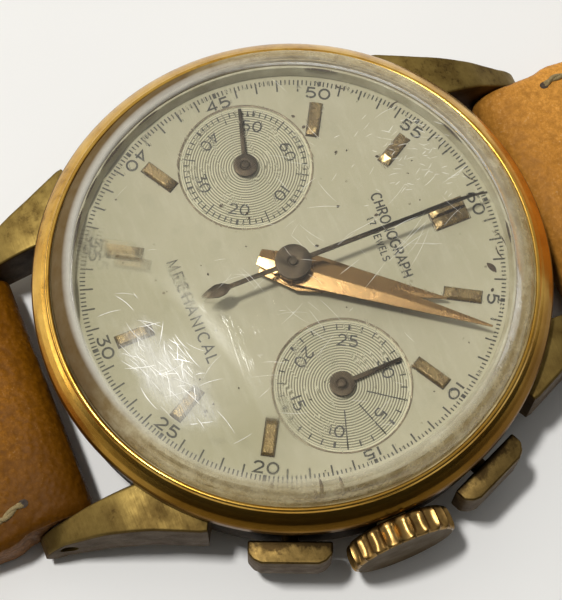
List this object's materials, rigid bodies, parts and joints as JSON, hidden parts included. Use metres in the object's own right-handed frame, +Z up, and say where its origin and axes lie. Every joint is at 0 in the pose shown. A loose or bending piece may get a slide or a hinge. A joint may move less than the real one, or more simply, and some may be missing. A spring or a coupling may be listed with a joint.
{
  "type": "chronograph wristwatch",
  "caption": "Gold wristwatch with a silvered two-register chronograph dial, fluted crown, flat pushers and an open tan leather strap with buckle.",
  "frame": {"origin": "centre of the flat outer face of the case back, which rests on the table", "axes": "+Z up through the dial, +Y towards 12 o'clock along the strap, +X towards the crown at 3 o'clock"},
  "size_m": [0.039, 0.2456, 0.0128],
  "materials": {
    "case_gold": "worn, patinated gold cap",
    "bright_gold": "polished gold",
    "crystal": "clear domed acrylic, fine scratches",
    "brass": "brushed",
    "steel": "brushed",
    "nickel": "nickel plated",
    "silvered_dial": "silvered, aged",
    "rose_gold": "polished rose gold",
    "dark_steel": "blued",
    "leather": "pebbled tan calf"
  },
  "bodies": {
    "case": {"case_middle": "case_gold", "bezel": "bright_gold", "crystal": "crystal", "case_back": "case_gold", "movement_ring": "brass", "crown_tube": "brass", "spring_bar_12": "steel", "spring_bar_6": "steel", "reflector_ring": "nickel", "dial": "silvered_dial", "index_01": "rose_gold", "index_02": "rose_gold", "index_04": "rose_gold", "index_05": "rose_gold", "index_06": "rose_gold", "index_07": "rose_gold", "index_08": "rose_gold", "index_10": "rose_gold", "index_11": "rose_gold", "index_12": "rose_gold", "main_plate": "brass", "barrel_bridge": "nickel", "train_bridge": "nickel", "chronograph_bridge": "nickel", "balance_cock": "nickel", "hairspring": "steel"},
    "stem": {"winding_stem": "steel"},
    "crown": {"crown": "bright_gold"},
    "pusher_start": {"pusher_start": "bright_gold"},
    "pusher_reset": {"pusher_reset": "bright_gold"},
    "operating_lever": {"operating_lever": "steel"},
    "reset_lever": {"reset_lever": "steel"},
    "column_wheel": {"column_wheel": "steel"},
    "chronograph_runner": {"chronograph_wheel": "brass", "chronograph_hand": "dark_steel"},
    "minute_counter": {"minute_counter_wheel": "brass", "minute_counter_hand": "dark_steel"},
    "fourth_wheel": {"fourth_wheel": "brass", "small_seconds_hand": "dark_steel"},
    "third_wheel": {"third_wheel": "brass"},
    "centre_wheel": {"centre_wheel": "brass"},
    "minute_display": {"cannon_pinion": "steel", "minute_hand": "rose_gold"},
    "minute_wheel": {"minute_wheel": "brass"},
    "hour_display": {"hour_wheel": "brass", "hour_hand": "rose_gold"},
    "barrel": {"mainspring_barrel": "brass", "mainspring": "steel"},
    "ratchet": {"ratchet_wheel": "steel"},
    "crown_wheel": {"crown_wheel": "steel"},
    "escape_wheel": {"escape_wheel": "steel"},
    "pallet_fork": {"pallet_fork": "steel"},
    "balance": {"balance_wheel": "brass"},
    "strap_12": {"strap_buckle_side": "leather", "keeper_fixed": "leather"},
    "strap_6": {"strap_hole_side": "leather"},
    "buckle": {"buckle_frame": "bright_gold", "buckle_bar": "steel"},
    "tang": {"buckle_tang": "bright_gold"},
    "keeper_free": {"keeper_free": "leather"}
  },
  "joints": [
    {"name": "crown_pull", "type": "slide", "parent": "case", "child": "stem", "axis": [1, 0, 0], "range_m": [0, 0.001]},
    {"name": "crown_turn", "type": "hinge", "parent": "stem", "child": "crown", "pos_m": [0.0185, 0, 0.00395], "axis": [-1, 0, 0], "continuous": true},
    {"name": "start_push", "type": "slide", "parent": "case", "child": "pusher_start", "axis": [-0.9205, -0.3907, 0], "range_m": [0, 0.0006], "stiffness_N_per_m": 3000},
    {"name": "reset_push", "type": "slide", "parent": "case", "child": "pusher_reset", "axis": [-0.9205, 0.3907, 0], "range_m": [0, 0.0006], "stiffness_N_per_m": 3000},
    {"name": "operating_lever_turn", "type": "hinge", "parent": "case", "child": "operating_lever", "pos_m": [0.0096, 0.0094, 0.0012], "axis": [0, 0, 1], "range_deg": [-7.1, 0]},
    {"name": "reset_lever_turn", "type": "hinge", "parent": "case", "child": "reset_lever", "pos_m": [0.0096, -0.0094, 0.0012], "axis": [0, 0, 1], "range_deg": [0, 7.1]},
    {"name": "column_wheel_turn", "type": "hinge", "parent": "case", "child": "column_wheel", "pos_m": [0.0074, 0.0096, 0.0012], "axis": [0, 0, 1], "continuous": true},
    {"name": "chronograph_turn", "type": "hinge", "parent": "case", "child": "chronograph_runner", "pos_m": [0, 0, 0.0013], "axis": [0, 0, -1], "continuous": true},
    {"name": "minute_counter_turn", "type": "hinge", "parent": "case", "child": "minute_counter", "pos_m": [0.00882, 0, 0.0013], "axis": [0, 0, -1], "continuous": true},
    {"name": "fourth_wheel_turn", "type": "hinge", "parent": "case", "child": "fourth_wheel", "pos_m": [-0.00882, 0, 0.0036], "axis": [0, 0, -1], "continuous": true},
    {"name": "third_wheel_turn", "type": "hinge", "parent": "case", "child": "third_wheel", "pos_m": [-0.0046, -0.002, 0.0041], "axis": [0, 0, -1], "continuous": true},
    {"name": "centre_wheel_turn", "type": "hinge", "parent": "case", "child": "centre_wheel", "pos_m": [0, 0, 0.0048], "axis": [0, 0, -1], "continuous": true},
    {"name": "minute_hand_turn", "type": "hinge", "parent": "case", "child": "minute_display", "pos_m": [0, 0, 0.009], "axis": [0, 0, -1], "continuous": true},
    {"name": "minute_wheel_turn", "type": "hinge", "parent": "case", "child": "minute_wheel", "pos_m": [-0.003, 0.003, 0.0068], "axis": [0, 0, -1], "continuous": true},
    {"name": "hour_hand_turn", "type": "hinge", "parent": "case", "child": "hour_display", "pos_m": [0, 0, 0.0085], "axis": [0, 0, -1], "continuous": true},
    {"name": "barrel_turn", "type": "hinge", "parent": "case", "child": "barrel", "pos_m": [0.0022, 0.00695, 0.004], "axis": [0, 0, -1], "continuous": true},
    {"name": "ratchet_turn", "type": "hinge", "parent": "case", "child": "ratchet", "pos_m": [0.0022, 0.00695, 0.0022], "axis": [0, 0, -1], "continuous": true},
    {"name": "crown_wheel_turn", "type": "hinge", "parent": "case", "child": "crown_wheel", "pos_m": [0.0083, 0.00407, 0.0022], "axis": [0, 0, -1], "continuous": true},
    {"name": "escape_wheel_turn", "type": "hinge", "parent": "case", "child": "escape_wheel", "pos_m": [-0.0099, -0.0041, 0.0045], "axis": [0, 0, -1], "continuous": true},
    {"name": "pallet_fork_rock", "type": "hinge", "parent": "case", "child": "pallet_fork", "pos_m": [-0.00706, -0.00631, 0.0045], "axis": [0, 0, 1], "range_deg": [-5, 5]},
    {"name": "balance_swing", "type": "hinge", "parent": "case", "child": "balance", "pos_m": [-0.0036, -0.009, 0.0037], "axis": [0, 0, 1], "range_deg": [-270, 270], "stiffness_Nm_per_rad": 0.00000025},
    {"name": "strap_12_swing", "type": "hinge", "parent": "case", "child": "strap_12", "pos_m": [0, 0.0215, 0.0024], "axis": [1, 0, 0], "range_deg": [-85, 60]},
    {"name": "strap_6_swing", "type": "hinge", "parent": "case", "child": "strap_6", "pos_m": [0, -0.0215, 0.0024], "axis": [-1, 0, 0], "range_deg": [-85, 60]},
    {"name": "buckle_swing", "type": "hinge", "parent": "strap_12", "child": "buckle", "pos_m": [0, 0.0965, 0.0024], "axis": [1, 0, 0], "range_deg": [-45, 45]},
    {"name": "tang_lift", "type": "hinge", "parent": "buckle", "child": "tang", "pos_m": [0, 0.0965, 0.0024], "axis": [1, 0, 0], "range_deg": [0, 80]},
    {"name": "keeper_slide", "type": "slide", "parent": "strap_12", "child": "keeper_free", "axis": [0, 1, 0], "range_m": [-0.01, 0.0045]}
  ],
  "couplings": [
    {"joint": "crown_wheel_turn", "follows": "crown_turn", "ratio": 0.65},
    {"joint": "ratchet_turn", "follows": "crown_turn", "ratio": -0.43333},
    {"joint": "operating_lever_turn", "follows": "start_push", "rad_per_m": -204},
    {"joint": "reset_lever_turn", "follows": "reset_push", "rad_per_m": 204},
    {"joint": "minute_counter_turn", "follows": "chronograph_turn", "ratio": 0.033333},
    {"joint": "third_wheel_turn", "follows": "fourth_wheel_turn", "ratio": -0.13333},
    {"joint": "centre_wheel_turn", "follows": "fourth_wheel_turn", "ratio": 0.016667},
    {"joint": "minute_hand_turn", "follows": "fourth_wheel_turn", "ratio": 0.016667},
    {"joint": "minute_wheel_turn", "follows": "fourth_wheel_turn", "ratio": -0.0055556},
    {"joint": "hour_hand_turn", "follows": "fourth_wheel_turn", "ratio": 0.0013889},
    {"joint": "barrel_turn", "follows": "fourth_wheel_turn", "ratio": -0.002381},
    {"joint": "escape_wheel_turn", "follows": "fourth_wheel_turn", "ratio": -10}
  ]
}
